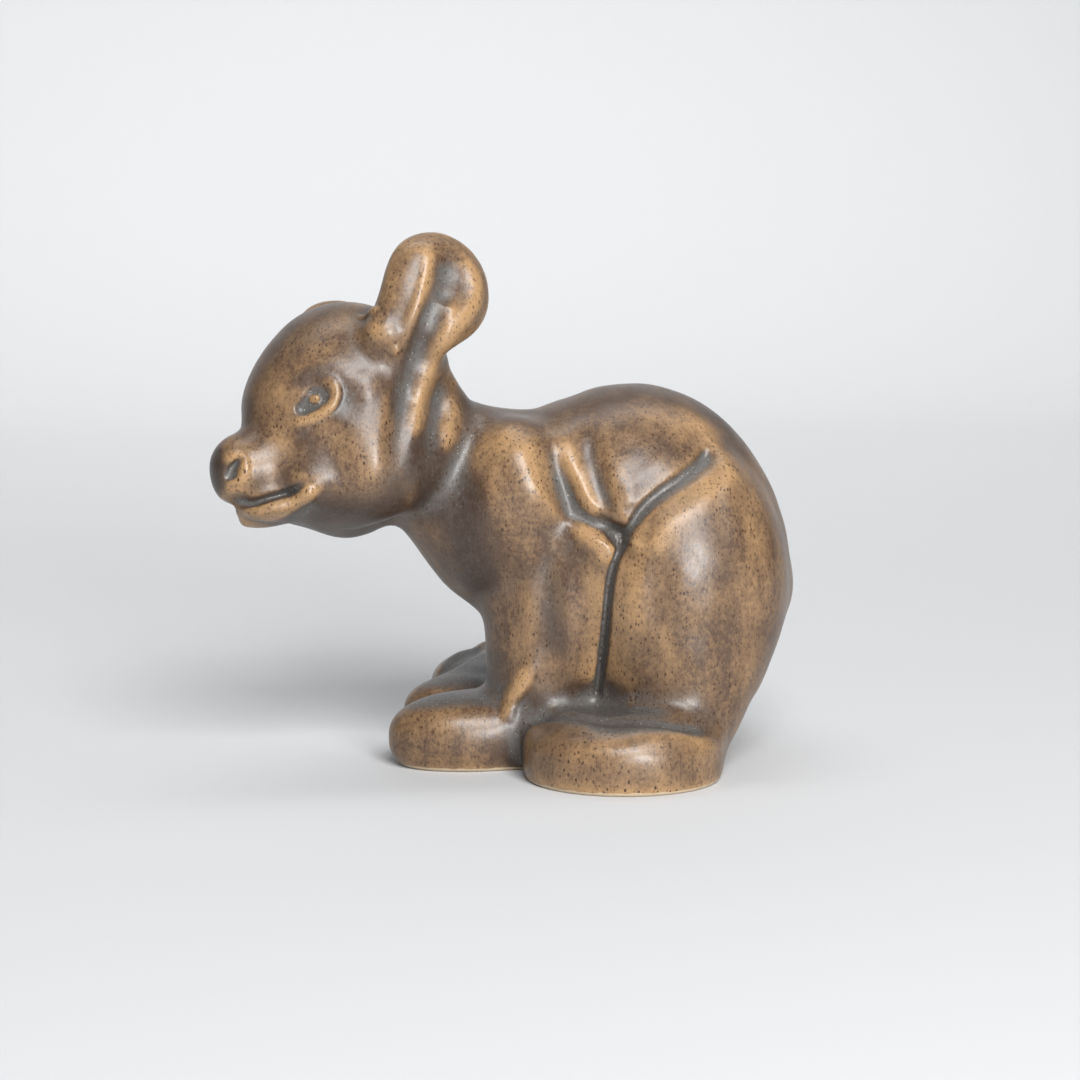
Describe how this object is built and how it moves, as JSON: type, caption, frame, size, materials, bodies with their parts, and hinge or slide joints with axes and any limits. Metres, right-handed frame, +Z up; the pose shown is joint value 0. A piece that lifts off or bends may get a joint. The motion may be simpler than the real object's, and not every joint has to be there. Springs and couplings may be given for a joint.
{
  "type": "bear figurine",
  "caption": "Glazed stoneware figurine of a young bear crouching on all fours, head turned to one side and one ear raised, with a flat underside.",
  "frame": {"origin": "centre of the bounding box, at the flat underside that stands on the table", "axes": "+Z up; -X towards the head; -Y towards the side on which the ear is raised and to which the head turns"},
  "size_m": [0.1568, 0.114, 0.1401],
  "materials": {
    "glaze": "satin iron glaze, golden ochre on the edges and blue-grey where it pools"
  },
  "bodies": {
    "root": {"bear": "glaze"}
  },
  "joints": []
}
